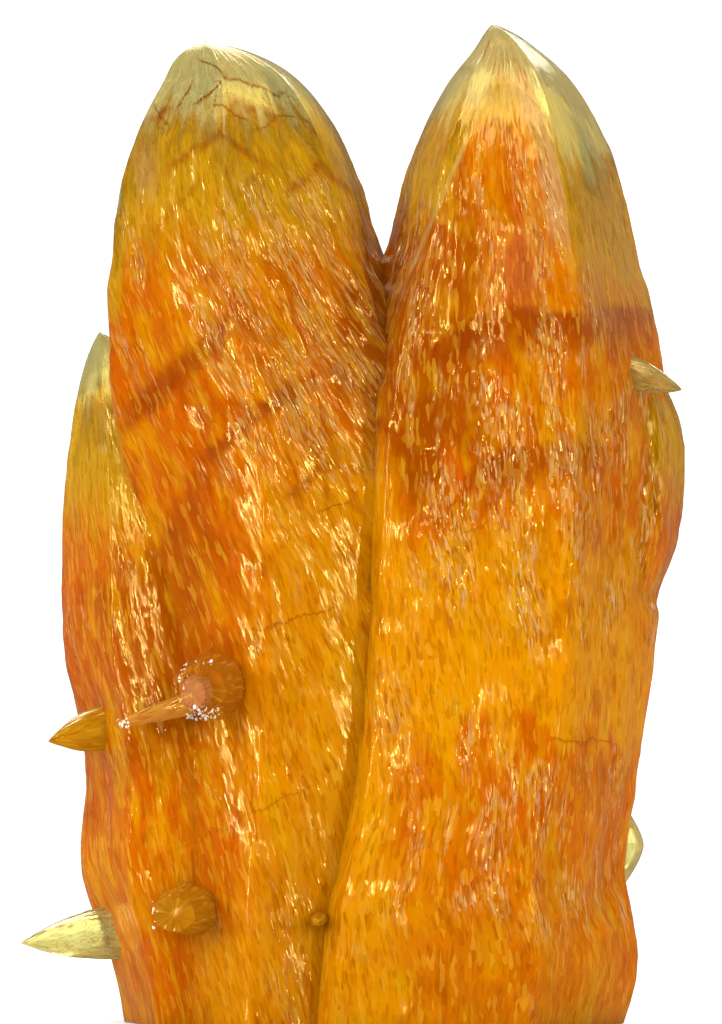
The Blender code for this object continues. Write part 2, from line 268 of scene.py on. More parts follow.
# Growth pauses: arches of the right crystal, each with its crown and reach across, its height, how much it
# falls away to the left of the crown, and its thickness.
ARCHES = (
    (15.0, 8.6, 57.3, 0.042, 4.8),
    (14.0, 5.0, 46.0, 0.10, 3.8),
)
# Slanting bands of the left crystal: height where x is 0, half thickness, softness, strength, and middle
# and half width across
SLANT = 0.95
SLANTS = (
    (77.9, 0.1, 0.5, 0.45, -13.5, 1.5),
    (73.6, 0.1, 0.5, 0.45, -8.6, 2.5),
    (64.8, 0.7, 1.2, 1.1, -13.6, 4.4),
    (55.4, 0.4, 0.9, 0.95, -8.4, 4.2),
    (54.2, 0.2, 0.7, 0.60, -3.0, 1.8),
    (46.8, 0.2, 0.6, 0.75, -3.6, 1.7),
    (53.0, 0.8, 1.4, 0.55, -13.0, 1.8),
)
# Outlines of earlier tips: middle, height, slope to the sides and reach
GHOSTS = (
    (-11.3, 74.6, 0.55, 6.5),
    (-10.6, 70.9, 0.75, 5.0),
    (-2.6, 68.2, 0.8, 3.5),
    (11.4, 71.9, 1.1, 1.6),
)
# Places, here and below, are given by their middle and half width across, and middle and half height.
# Redder and yellower places of the inside: the place, softness, and from -1 red to 1 amber. Three of the
# amber ones are painted light: a painted glow, painted light in the seam between the tall crystals, and a
# painted glint.
PATCHES = (
    (-3.0, 3.6, 27.0, 15.0, 4.0, 0.75),
    # Painted glow: the right crystal's middle made bright amber, as if lit through.
    (12.0, 9.5, 31.0, 7.0, 4.0, 1.0),
    (-5.0, 7.0, 4.0, 4.0, 3.0, 0.8),
    (-15.5, 2.5, 31.0, 8.0, 3.5, -0.7),
    (5.0, 3.0, 58.0, 11.0, 2.5, -0.75),
    (-21.5, 2.0, 26.0, 8.0, 3.0, -0.25),
    (2.5, 1.5, 51.0, 6.0, 2.5, -0.7),
    # Painted light: amber along the seam between the two tall crystals, lifting the shade of its groove.
    (0.8, 1.2, 22.0, 19.0, 2.5, 0.6),
    (12.0, 8.0, 5.0, 5.0, 4.0, 0.35),
    # Painted glint: a small bright amber spot on the rear left crystal.
    (-18.1, 0.5, 40.8, 1.4, 1.0, 1.0),
)
# Where the skin sparkles: the place, softness, and how much. There the relief is rougher, the fibres tilt
# more, and the painted glints and painted sheen gather.
SPARKLES = (
    (-3.0, 6.0, 55.0, 9.0, 5.0, 0.8),
    (-17.8, 1.2, 55.0, 8.0, 2.0, 0.5),
    (9.0, 6.0, 62.0, 8.0, 4.0, 0.45),
    (14.5, 8.5, 41.0, 7.5, 4.0, 0.8),
    (24.5, 2.5, 42.0, 8.0, 2.0, 0.4),
    (19.5, 2.0, 62.0, 8.0, 2.5, 0.3),
    (13.0, 8.0, 14.5, 5.0, 4.0, 0.6),
    (-22.5, 1.0, 36.0, 5.0, 2.0, 0.25),
    (3.0, 1.0, 27.0, 8.0, 2.0, 0.4),
)
SPARKLE_ELSEWHERE = 0.12
# Where it is as clear as if a tip were nearer: the place, and by how many millimetres
WINDOWS = (
    (3.8, 1.1, 48.5, 0.3, 14.0),
    (-1.3, 1.2, 47.9, 0.6, 9.0),
    (-19.4, 0.7, 61.5, 6.0, 5.0),
    (24.6, 1.2, 62.0, 5.0, 6.0),
)
# Greyish pink veils: the place, and how strong
VEILS = (
    (13.0, 1.2, 60.0, 2.0, 0.12),
    (-16.6, 0.3, 67.6, 0.6, 0.4),
)
# The right crystal's front is an upside-down V. Its left edge starts this far below the tip, and then
# moves out evenly by this share.
EDGE_LEFT_START = 4.5
EDGE_LEFT = 0.43
# Its right edge, and the veil's edge left of that, move out less and less: how far, and over what length
EDGE_RIGHT = 6.6
EDGE_RIGHT_LENGTH = 8.0
VEIL_EDGE = 4.0
VEIL_EDGE_LENGTH = 5.0
# The faces right and left of the V are as clear as if the tip were this much nearer, and the V itself, from
# its start down, as cloudy as if it were this much further away
PALE_FACE = 8.0
LEFT_FACE = 3.5
FRONT_FACE = 6.0
FRONT_START = 7.0
# Colours
DEEP_ORANGE = (0.73, 0.138, 0.0)
ORANGE = (0.80, 0.22, 0.0)
AMBER = (0.90, 0.34, 0.0)
BRIGHT_AMBER = (0.88, 0.42, 0.0)
RED_ORANGE = (0.46, 0.085, 0.0)
OLIVE_AMBER = (0.68, 0.37, 0.005)
OLIVE_GREY = (0.62, 0.56, 0.18)
OLIVE_BROWN = (0.25, 0.15, 0.01)
PALE_YELLOW = (0.95, 0.88, 0.28)
CLEAR_YELLOW = (0.95, 0.94, 0.36)
RED_BROWN = (0.38, 0.045, 0.002)
HAIR_BROWN = (0.40, 0.085, 0.0)
STUB_BROWN = (0.42, 0.15, 0.01)
FRACTURE_BROWN = (0.38, 0.095, 0.0)
LILAC_GREY = (0.66, 0.36, 0.19)
# Painted sheen and painted glints: golden and pale streaks for the light that the silky fibres catch.
PAINTED_SHEEN_GOLD = (0.93, 0.42, 0.05)
PAINTED_GLINT_PALE = (1.0, 0.68, 0.27)
# Painted glints: bright amber flecks over the body.
PAINTED_GLINT_AMBER = (0.98, 0.52, 0.03)
CLOUD_LIGHT = (1.0, 0.72, 0.0)
# Fracture traces: middle and half width across, height, rise to the right, and how dark
FRACTURES = (
    (-4.6, 3.6, 32.4, 0.34, 0.7),
    (-8.4, 5.0, 16.6, 0.48, 0.45),
    (18.2, 2.6, 22.7, -0.02, 0.7),
    (-1.4, 1.2, 41.4, 0.35, 0.8),
    (6.6, 0.8, 40.4, 0.0, 0.6),
    (9.6, 1.0, 39.4, 0.5, 0.5),
    (-11.0, 1.2, 76.0, -0.75, 1.0),
    (-11.3, 1.3, 74.2, 0.83, 1.0),
    (-7.7, 2.6, 74.7, -0.24, 0.9),
    (-13.4, 0.7, 73.6, 1.6, 1.0),
    (-15.2, 0.7, 72.2, -1.5, 0.9),
    (-9.8, 1.6, 72.6, -0.7, 1.0),
    (-6.0, 2.0, 71.6, 0.5, 0.8),
    (-3.9, 1.3, 72.2, -1.1, 0.8),
    (10.7, 0.4, 77.6, 2.6, 1.0),
    (14.1, 0.6, 74.0, -2.0, 0.6),
    (8.9, 0.7, 76.0, -0.4, 0.5),
)
# Heaps of grains: middle across, height, how wide and high, and how many. The last one is dark.
CRUMB_HEAPS = (
    (-11.7, 24.9, 2.8, 1.2, 60),
    (-18.1, 24.0, 1.2, 0.8, 16),
    (-13.3, 27.8, 0.7, 1.8, 14),
    (-11.8, 28.9, 1.6, 0.5, 8),
    (-15.6, 8.8, 0.6, 2.4, 12),
    (0.36, 18.3, 0.0, 0.0, 1),
)
DARK_HEAP = 5
CRUMB_SMALL = 0.07
CRUMB_LARGE = 0.2
PALE_CRUMB = ((0.95, 0.88, 0.78), (0.85, 0.62, 0.35))
DARK_CRUMB = ((0.05, 0.03, 0.02), (0.01, 0.008, 0.006))
# Seen through: calcite's middle index of refraction, its tinted gloss, and how much light it keeps back
CALCITE_IOR = 1.49
GLOSS_TINT = (1.0, 0.72, 0.2, 1.0)
ABSORPTION = (0.99, 0.95, 0.3, 1.0)
ABSORPTION_DENSITY = 100.0
BODY_TRANSMISSION = 0.48
TIP_TRANSMISSION = 0.72
# Edges sharper than this stay sharp
SHARP_ANGLE = 38.0
# The block that cuts off what is below the base
CUTTER_SIZE = 100.0
# The floor and the cloudy inside's foot keep this far from the base
BASE_GAP = 0.05
# The floor and the lights are in metres. A light has its name, its place, what it shines at, its width and
# height, and how bright its face is.
FLOOR_RADIUS = 0.16
FLOOR_COLOUR = (0.9, 0.9, 0.9, 1.0)
MIDDLE = (0.0, 0.0, 0.04)
LIGHTS = (
    ("left_key", (-0.72, -0.36, 0.25), MIDDLE, 0.035, 0.55, 62.0),
    ("left_front", (-0.42, -0.68, 0.35), MIDDLE, 0.03, 0.40, 60.0),
    ("right_fill", (0.62, -0.48, 0.15), MIDDLE, 0.03, 0.50, 50.0),
    ("right_front", (0.36, -0.70, 0.30), MIDDLE, 0.03, 0.30, 40.0),
    ("top", (-0.10, -0.30, 0.80), MIDDLE, 0.36, 0.26, 8.0),
    ("behind", (0.0, 0.45, 0.60), (0.0, 0.12, 0.0), 0.80, 0.40, 8.0),
)
# How bright the white surroundings are above, in reflections, to the camera, and seen through the crystals
ABOVE_LIGHT = 0.6
REFLECTED_SHARE = 0.15
BACKDROP_LIGHT = 1.3
SEEN_THROUGH_LIGHT = 0.9
CAMERA_LENS = 400.0
PIXEL = 0.08  # mm of the object to a pixel of the photograph, at the crystals' middle
MIDDLE_COLUMN = 352.5  # the photograph's column where x is 0
BASE_ROW = 1021.0  # the row where z is 0
FRAME_WIDE, FRAME_HIGH = 722, 1024


def reaches_at(stations, height):
    """How far a section reaches to the left, right, front and back, on a curve through the stations."""
    lower = next(i for i, s in enumerate(stations[1:], 1) if s.height <= height or s is stations[-1])
    top, bottom = stations[lower - 1], stations[lower]
    above = stations[max(lower - 2, 0)]
    below = stations[min(lower + 1, len(stations) - 1)]
    span = top.height - bottom.height
    t = (top.height - height) / span
    reaches = []
    for side in ("left", "right", "front", "back"):
        a, b, c, d = (getattr(station, side) for station in (above, top, bottom, below))
        slope_top = (c - a) / (above.height - bottom.height) * span
        slope_bottom = (d - b) / (top.height - below.height) * span
        if above is top:
            slope_top = TIP_ROUNDNESS * (c - b)
        value = (2 * t**3 - 3 * t**2 + 1) * b + (t**3 - 2 * t**2 + t) * slope_top
        value += (3 * t**2 - 2 * t**3) * c + (t**3 - t**2) * slope_bottom
        reaches.append(value)
    return reaches


def walked(corners, turns):
    """Places on a closed outline of corners, at each share of a turn, and how far along its side each is."""
    face = (turns % 1.0) * (len(corners) - 1)
    index = np.minimum(face.astype(int), len(corners) - 2)
    along = (face - index)[:, None]
    return corners[index] + (corners[index + 1] - corners[index]) * along, along


def unit_section(crystal, turns):
    """The section's outline, as shares of its half width and half depth."""
    outline, along = walked(np.array(crystal.corners + crystal.corners[:1], float), turns)
    return outline * (1 + FACE_BULGE * 4 * along * (1 - along))


def chance(column, row, seed, which):
    """A number from 0 to 1 for each cell, always the same for the same cell."""
    mixed = column * 374761393 + row * 668265263 + seed * 1442695041 + which * 974711
    mixed = mixed & 0xFFFFFFFF
    mixed = ((mixed ^ (mixed >> 13)) * 1274126177) & 0xFFFFFFFF
    mixed = ((mixed ^ (mixed >> 16)) * 2246822519) & 0xFFFFFFFF
    return ((mixed ^ (mixed >> 15)) & 0xFFFF) / 65535.0


def steps(values, low, high):
    """Runs smoothly from 0 to 1 as the values go from low to high."""
    share = np.clip((values - low) / (high - low), 0.0, 1.0)
    return share * share * (3 - 2 * share)


def banded(values, middle, half, soft):
    """1 within half of the middle, and 0 from soft outside that."""
    return 1.0 - steps(np.abs(values - middle), half, half + soft)


def patched(x, z, place, soft_across, soft_up):
    """1 inside a place, and 0 from that far outside it."""
    x_middle, x_half, z_middle, z_half = place
    return banded(x, x_middle, x_half, soft_across) * banded(z, z_middle, z_half, soft_up)


def clouded(points, scale, seed, octaves=2):
    """Smooth random values from 0 to 1 over points in millimetres."""
    total, weights = 0.0, 0.0
    for octave in range(octaves):
        at = points * np.array(scale) * 2**octave + 200.0
        cell = np.floor(at).astype(np.int64)
        share = at - cell
        share = share * share * (3 - 2 * share)
        value = 0.0
        for corner in np.ndindex(2, 2, 2):
            near = np.where(np.array(corner) == 1, share, 1 - share).prod(axis=-1)
            here = cell + np.array(corner)
            column = here[..., 0] + 4099 * here[..., 2]
            value = value + near * chance(column, here[..., 1], seed + octave, 3)
        total = total + value * 0.6**octave
        weights += 0.6**octave
    return total / weights


def shingled(turn, along, girth, shingle, seed, falls):
    """Overlapping blades that point upwards: each falls gently below its point, and steeply above it.

    Gives the height, and a random number for each blade.
    """
    above_fall, below_fall, beside_fall = falls
    columns = max(3, round(girth / shingle.wide))
    u, v = turn * columns, along / shingle.long
    best = np.full(np.broadcast(turn, along).shape, -9.0)
    tint = np.zeros(best.shape)
    for across in (-1, 0, 1):
        for up in (-1, 0, 1, 2):
            column = np.floor(u).astype(np.int64) + across
            row = np.floor(v).astype(np.int64) + up
            cell = column % columns
            beside = np.abs(u - column - chance(cell, row, seed, 1))
            above = v - row - chance(cell, row, seed, 2)
            slope = np.where(above > 0, above_fall * above, -below_fall * above)
            height = 0.5 * chance(cell, row, seed, 3) - beside_fall * beside - slope
            tint = np.where(height > best, chance(cell, row, seed, 4), tint)
            best = np.maximum(best, height)
    return best, tint


def relief(turn, along, girth, shingles, seed, facing):
    """How far the skin stands out. The coarse shingles are lower where the skin faces sideways."""
    total = 0.0
    for number, shingle in enumerate(shingles):
        height, _ = shingled(turn, along, girth, shingle, seed * 7 + number, FORM_FALLS)
        height = shingle.proud * (height + 0.15)
        total = total + (height if number else height * (SIDE_SHARE + (1 - SIDE_SHARE) * facing))
    return total


def softened(values):
    """Each value averaged with its neighbours, so that edges between blades show no steps."""
    values = (np.roll(values, 1, axis=1) + 2 * values + np.roll(values, -1, axis=1)) / 4
    up = np.concatenate((values[:1], values[:-1]))
    down = np.concatenate((values[1:], values[-1:]))
    return (up + 2 * values + down) / 4


def grid_normals(points):
    """Outward normals of a grid of points, in rings from the top down."""
    around = np.roll(points, -1, axis=1) - np.roll(points, 1, axis=1)
    down = np.gradient(points, axis=0)
    normals = np.cross(down, around)
    return normals / np.maximum(np.linalg.norm(normals, axis=2, keepdims=True), 1e-9)


def noise_at(points, scale=1.0):
    """Smooth noise at each point of a grid."""
    values = [noise.noise(Vector(point) * scale) for point in points.reshape(-1, 3)]
    return np.array(values).reshape(points.shape[:2])


def swelled(points, outwards, half_width):
    """The slow swells of the skin."""
    fade = np.minimum(1.0, half_width / SWELL_ACROSS)
    values = noise_at(points / np.array((SWELL_ACROSS, SWELL_ACROSS, SWELL_ALONG)))
    return points + outwards * (SWELL * fade * values)[:, :, None]


def ring_depths(total, rings):
    """Depths below the tip, closer together near it."""
    return total * (np.arange(1, rings + 1) / rings) ** 1.3


def crystal_grid(crystal, around, rings, core):
    """Points of a crystal's skin, or of the cloudy inside, with their growth coordinates and zones."""
    stations = crystal.stations
    top = stations[0].height
    first = CORE_TIP_DEPTH if core else 0.0
    depths = first + ring_depths(top - first - stations[-1].height, rings)
    turns = np.arange(around) / around
    turns = turns - FRONT_SHARE * np.sin(2 * math.pi * (turns - 0.25)) / (2 * math.pi)
    outline = unit_section(crystal, turns)
    points = np.zeros((rings, around, 3))
    half_widths = np.zeros((rings, 1))
    for i, depth in enumerate(depths):
        height = top - depth
        lift = CORE_TIP_DEPTH * math.exp(-(depth - first) / CORE_TIP_LENGTH) if core else 0.0
        left, right, front, back = reaches_at(stations, min(height + lift, top))
        half_x, half_y = (right - left) / 2, (back - front) / 2
        if core:
            inset = CORE_INSET + CORE_TIP_INSET * math.exp(-((depth / 22.0) ** 2))
            inset = min(inset, 0.35 * half_x, 0.35 * half_y)
            half_x, half_y = half_x - inset, half_y - inset
        half_widths[i] = half_x
        points[i, :, 0] = (left + right) / 2 + outline[:, 0] * half_x
        points[i, :, 1] = (front + back) / 2 + outline[:, 1] * half_y
        points[i, :, 2] = height
    outwards = np.zeros((1, around, 3))
    outwards[0, :, :2] = outline / np.linalg.norm(outline, axis=1, keepdims=True)
    points = swelled(points, outwards, half_widths)
    size = half_widths / half_widths.max()
    fade = np.clip((depths - first)[:, None] / TIP_FADE, 0, 1) * np.sqrt(size)
    shingles = SHINGLES[:2] if core else SHINGLES
    seed = crystal.seed
    leaning = np.maximum(0.0, depths[:, None] - LEAN_START) * crystal.lean
    wandering = WANDER * (2 * clouded(points, (1 / WANDER_PATCH,) * 3, seed + 70) - 1)
    grown = turns[None, :] - (leaning + wandering) / crystal.girth
    normals = grid_normals(points)
    facing = np.abs(normals[:, :, 1])
    sparkle = sparkling(points)
    rough = SMOOTH_SHARE + (1 - SMOOTH_SHARE) * steps(sparkle, 0.1, 0.7)
    raised = relief(grown, points[:, :, 2], crystal.girth, shingles, seed, facing) * rough
    astray = grown + STRAY * (clouded(points, (0.7, 0.7, 0.35), seed + 71) - 0.5) / crystal.girth
    _, coarse = shingled(astray, points[:, :, 2], crystal.girth, FLAMES[0], seed + 80, FLAME_FALLS)
    _, middling = shingled(astray, points[:, :, 2], crystal.girth, FLAMES[1], seed + 90, FLAME_FALLS)
    silk, _ = shingled(grown, points[:, :, 2], crystal.girth, SILK, seed + 50, SILK_FALLS)
    coarse, middling, silk = softened(coarse), softened(middling), softened(silk)
    points = points + normals * (raised * fade)[:, :, None]
    radius = crystal.girth / (2 * math.pi)
    growth = np.zeros_like(points)
    growth[:, :, 0] = radius * np.cos(2 * math.pi * grown)
    growth[:, :, 1] = radius * np.sin(2 * math.pi * grown)
    growth[:, :, 2] = points[:, :, 2]
    growth += crystal.seed * np.array((37.0, 11.0, 0.0))
    tip = np.array((stations[0].left, stations[0].front, top - first))
    attributes = inner_zones(
        crystal, points, growth, depths[:, None], silk, coarse, middling, raised, sparkle)
    return points, tip, {"growth": growth, **attributes}


def sparkling(points):
    """How much the skin sparkles, by place, which sets its rougher relief and its painted glints and sheen.
    """
    x, z = points[:, :, 0], points[:, :, 2]
    wander = (clouded(points, (0.2, 0.2, 0.16), 35) - 0.5) * 8.0
    sparkle = np.full(x.shape, SPARKLE_ELSEWHERE)
    for *place, soft, amount in SPARKLES:
        patch = patched(x + wander * 0.5, z + wander, place, soft, soft)
        sparkle = np.maximum(sparkle, patch * amount)
    return sparkle


def inner_zones(crystal, points, growth, depths, silk, coarse, middling, raised, sparkle):
    """The place in the crystal: its zones of colour, its marks, and the shade of each blade."""
    x, z = points[:, :, 0], points[:, :, 2]
    slow = clouded(points, (0.11, 0.11, 0.09), 31)
    fine = clouded(points, (0.8, 0.8, 0.6), 32, octaves=3)
    jagged = (coarse - 0.5) * 5.0 + (middling - 0.5) * 2.5
    wander = (slow - 0.5) * 12.0
    warm = np.zeros_like(x)
    # Redder and more amber places, among them a painted glow, painted light in the seam and a painted glint.
    for *place, soft, amount in PATCHES:
        warm = warm + patched(x + wander * 0.5, z - wander + jagged, place, soft, soft) * amount
    far = steps(depths, 2.0, 22.0)
    depth = depths + crystal.cloudy + (slow - 0.5) * 9.0 * far + jagged * (0.25 + 0.25 * far)
    lilac = np.zeros_like(x)
    edge = np.zeros_like(x)
    if crystal is RIGHT:
        down = RIGHT.stations[0].height - z
        across = x - RIGHT.stations[0].left
        right_of = across - EDGE_RIGHT * (1 - np.exp(-down / EDGE_RIGHT_LENGTH))
        depth = depth - PALE_FACE * steps(right_of, -0.4, 0.8) * steps(down, 34.0, 22.0)
        lilac = 0.25 * steps(right_of, 0.0, 2.0) * banded(down, 16.0, 6.0, 5.0)
        past_veil = across - 0.6 - VEIL_EDGE * (1 - np.exp(-np.maximum(down - 4.0, 0.0) / VEIL_EDGE_LENGTH))
        veiled = steps(past_veil + (middling - 0.5), -0.5, 0.5) * steps(right_of, 0.3, -0.3)
        lilac = np.maximum(lilac, 0.7 * veiled * banded(down, 10.0, 5.0, 4.0))
        left_of = -across - EDGE_LEFT * np.maximum(down - EDGE_LEFT_START, 0.0)
        depth = depth - LEFT_FACE * steps(left_of, -0.3, 0.5) * steps(down, 19.0, 11.0)
        warm = warm - 0.6 * steps(left_of, -0.3, 0.6) * steps(down, 40.0, 25.0) * steps(down, 12.0, 17.0)
        front = steps(left_of, 0.3, -0.5) * steps(past_veil, 0.3, -0.5)
        started = steps(down + 0.5 * np.abs(across), FRONT_START, FRONT_START + 2.0)
        depth = depth + FRONT_FACE * front * started
        # Painted highlights: thin pale lines along both edges of the V, as if its ridges caught the light.
        edge = banded(left_of, 0.0, 0.05, 0.2) * banded(down, 12.0, 6.0, 5.0)
        edge = np.maximum(edge, 0.6 * banded(right_of, 0.0, 0.05, 0.2) * banded(down, 11.0, 6.0, 5.0))
    for *place, nearer in WINDOWS:
        depth = depth - nearer * patched(x, z + jagged * 0.3, place, 0.7, 0.9)
    for *place, strength in VEILS:
        lilac = np.maximum(lilac, strength * patched(x + wander * 0.1, z + jagged * 0.3, place, 1.2, 2.5))
    silk = silk - 1.5 * steps(edge, 0.0, 0.5)
    # The zone's second part also holds these painted ridge highlights.
    zone = np.stack((depth, 0.35 * edge, silk), axis=2)
    paused = np.maximum(growth_pauses(x, z, slow, fine, coarse, crystal), 0.75 * ghosts(x, z, fine))
    # The relief's height goes along too, for the painted shade in its hollows.
    marks = np.stack((paused, np.clip(warm, -1, 1), raised), axis=2)
    shade = 0.5 * slow + 0.3 * coarse + 0.2 * middling
    away, strength = nearest_trace(points)
    patchy = clouded(growth, (0.3, 0.3, 0.16), 34)
    blade = np.stack((shade, middling, lilac), axis=2)
    trace = np.stack((away, strength, steps(sparkle + patchy, 0.68, 1.15)), axis=2)
    return {"zone": zone, "marks": marks, "blade": blade, "trace": trace}


def growth_pauses(x, z, slow, fine, coarse, crystal):
    """Where growth paused: two arches in the right crystal, slanting bands in the left."""
    level = z + (fine - 0.5) * 1.1 + (slow - 0.5) * 3.0
    total = np.zeros_like(x)
    if crystal is RIGHT or crystal is RIGHT_FLANK:
        for crown, reach, height, fall, thick in ARCHES:
            below = height - fall * np.maximum(crown - x, 0.0) ** 2 - level
            arch = steps(below, 0.0, 0.3) * steps(below, thick, thick * 0.3) * banded(x, crown, reach, 0.6)
            total = np.maximum(total, arch)
    if crystal is LEFT:
        for height, half, soft, strength, middle, reach in SLANTS:
            line = banded(level - SLANT * x, height, half, soft)
            line = line * banded(x, middle, reach * 0.6, reach * 0.8)
            total = np.maximum(total, line * strength)
    return total * (0.55 + 0.25 * steps(fine, 0.3, 0.6) + 0.2 * steps(coarse, 0.2, 0.7))


def ghosts(x, z, fine):
    """Faint outlines of earlier tips inside the two tall crystals' tips."""
    level = z + (fine - 0.5) * 1.4
    total = np.zeros_like(x)
    for middle, height, slope, reach in GHOSTS:
        away = np.abs(x - middle)
        line = banded(level + away * slope, height, 0.1, 0.5) * steps(away, reach, reach * 0.6)
        total = np.maximum(total, line)
    return total


def nearest_trace(points):
    """How far above the nearest fracture trace a point is, and how dark that trace is there."""
    x, z = points[:, :, 0], points[:, :, 2]
    level = z + (clouded(points, (0.5, 0.5, 0.5), 33) - 0.5) * 1.6
    nearest, strongest = np.full(x.shape, 5.0), np.zeros(x.shape)
    for x_middle, x_half, z_middle, rise, dark in FRACTURES:
        away = level - z_middle - rise * (x - x_middle)
        strength = dark * banded(x, x_middle, x_half * 0.7, x_half * 0.6)
        near = strength * banded(away, 0.0, 0.5, 1.0)
        nearest = np.where(near > strongest, away, nearest)
        strongest = np.maximum(strongest, near)
    return nearest, strongest


def point_grid(point, seed):
    """The same for a small crystal that points outwards, pointed or broken off."""
    root, tip = np.array(point.root), np.array(point.tip)
    along = tip - root
    axis = along / np.linalg.norm(along)
    side = np.cross(axis, (0, 0, 1))
    side /= np.linalg.norm(side)
    up = np.cross(side, axis)
    corner = np.radians(360 * np.arange(POINT_SIDES + 1) / POINT_SIDES + POINT_TURN)
    corners = np.stack((np.cos(corner), np.sin(corner)), axis=1)
    outline, _ = walked(corners, np.arange(POINT_AROUND) / POINT_AROUND)
    round_outline = 0.95 * outline / np.linalg.norm(outline, axis=1, keepdims=True)
    outline = outline + (round_outline - outline) * POINT_ROUNDING
    across = side * outline[:, :1] * point.depth + up * outline[:, 1:] * point.width
    pointed = point.kept == 1.0
    end = 1.0 if pointed else point.kept
    shares = end * (1 - (np.arange(POINT_RINGS) + pointed) / POINT_RINGS)
    sizes = (1 - shares**POINT_TAPER) / 2
    points = root + along * shares[:, None, None] + across[None] * sizes[:, None, None]
    caps = 0
    if not pointed:
        inner = 1 - (np.arange(CAP_RINGS)[::-1] + 1) / (CAP_RINGS + 1)
        flat = root + along * end + across[None] * (sizes[0] * inner)[:, None, None]
        points = np.concatenate((flat, points))
        caps = CAP_RINGS
    growth = np.zeros_like(points)
    growth[:, :, :2] = outline[None] * (point.width + point.depth) / 4
    growth[:, :, 2] = ((points - root) @ axis)
    growth += seed * np.array((23.0, 17.0, 5.0))
    rough = noise_at(points, 1.3)
    lines = noise_at(growth * np.array((3, 3, 0.5)))
    normals = grid_normals(points)
    amount = POINT_RELIEF * lines
    amount[:caps] = 0
    points = points + normals * amount[:, :, None]
    points[:caps] += axis * (CAP_RELIEF * rough[:caps])[:, :, None]
    zone = np.zeros_like(points)
    zone[:, :, 0] = point.inner
    zone[:, :, 1] = point.pale
    zone[:, :, 2] = -1.0
    middle = tip if pointed else root + along * end
    return points, middle, plain_zones(growth, zone, point.lilac)


def plain_zones(growth, zone, lilac):
    """The attributes of a small crystal, which has no marks inside."""
    blade = np.full_like(zone, 0.5)
    blade[:, :, 2] = lilac
    blank = np.zeros_like(zone)
    return {"growth": growth, "zone": zone, "marks": blank, "blade": blade, "trace": blank}


def lens_grid(seed):
    """A clear lens of a crystal on the right flank."""
    turns = np.arange(24) / 24 * 2 * math.pi
    shares = np.linspace(0.97, -0.97, 24)
    sizes = 1 - np.abs(shares) ** 1.5
    points = np.zeros((len(shares), len(turns), 3))
    points[:, :, 0] = LENS_MIDDLE[0] + LENS_HALF_WIDTH * sizes[:, None] * np.cos(turns)[None]
    points[:, :, 1] = LENS_MIDDLE[1] + LENS_HALF_DEPTH * sizes[:, None] * np.sin(turns)[None]
    points[:, :, 2] = LENS_MIDDLE[2] + LENS_HALF_HEIGHT * shares[:, None]
    zone = np.zeros_like(points)
    zone[:, :, 1] = 1.0
    zone[:, :, 2] = -1.0
    return points, np.array(LENS_MIDDLE) + (0, 0, LENS_HALF_HEIGHT), plain_zones(points.copy(), zone, 0.0)


def loft(name, points, tip, attributes):
    """A closed mesh of the grid, with a point above its first ring and a flat end below its last."""
    rings, around = points.shape[:2]
    vertices = np.concatenate((points.reshape(-1, 3), tip[None])) * MM
    start = np.arange(rings - 1)[:, None] * around
    here = np.arange(around)[None]
    after = (here + 1) % around
    quads = np.stack((start + here, start + around + here, start + around + after, start + after), axis=2)
    faces = quads.reshape(-1, 4).tolist()
    apex = rings * around
    faces += [(apex, i, (i + 1) % around) for i in range(around)]
    faces.append([(rings - 1) * around + i for i in range(around)][::-1])
    mesh = bpy.data.meshes.new(name)
    mesh.from_pydata(vertices.tolist(), [], faces)
    for label, values in attributes.items():
        flat = values.reshape(-1, 3)
        flat = np.concatenate((flat, flat[:around].mean(axis=0, keepdims=True) + 1e-4))
        attribute = mesh.attributes.new(label, "FLOAT_VECTOR", "POINT")
        attribute.data.foreach_set("vector", flat.astype(np.float32).ravel())
    shape = bmesh.new()
    shape.from_mesh(mesh)
    bmesh.ops.recalc_face_normals(shape, faces=shape.faces)
    shape.to_mesh(mesh)
    shape.free()
    return mesh


def filled(name, shape):
    """A mesh of the shape."""
    mesh = bpy.data.meshes.new(name)
    shape.to_mesh(mesh)
    shape.free()
    return mesh


def placed(name, data):
    """A new object in the scene."""
    obj = bpy.data.objects.new(name, data)
    bpy.context.scene.collection.objects.link(obj)
    return obj


def below_base_box():
    shape = bmesh.new()
    bmesh.ops.create_cube(shape, size=CUTTER_SIZE * MM)
    bmesh.ops.translate(shape, vec=(0, 0, -CUTTER_SIZE / 2 * MM), verts=shape.verts)
    return filled("below_base", shape)


def numbers(data, key, width, kind=np.float32):
    """What Blender holds under a key, in rows of so many numbers."""
    values = np.zeros(len(data) * width, kind)
    data.foreach_get(key, values)
    return values.reshape(-1, width)


def fill_seams(mesh):
    """Gives the vertices that a join has added the attributes of the nearest vertex that has some."""
    labels = ("growth", "zone", "marks", "blade", "trace")
    values = {label: numbers(mesh.attributes[label].data, "vector", 3) for label in labels}
    places = numbers(mesh.vertices, "co", 3)
    pairs = numbers(mesh.edges, "vertices", 2, np.int32)
    pairs = np.concatenate((pairs, pairs[:, ::-1]))
    lengths = np.linalg.norm(places[pairs[:, 0]] - places[pairs[:, 1]], axis=1)
    pairs = pairs[np.argsort(-lengths, kind="stable")]
    known = np.abs(values["growth"]).sum(axis=1) > 0
    for _ in range(SEAM_PASSES):
        new = pairs[~known[pairs[:, 0]] & known[pairs[:, 1]]]
        for attribute in values.values():
            attribute[new[:, 0]] = attribute[new[:, 1]]
        known[new[:, 0]] = True
    for label, attribute in values.items():
        mesh.attributes[label].data.foreach_set("vector", attribute.ravel())


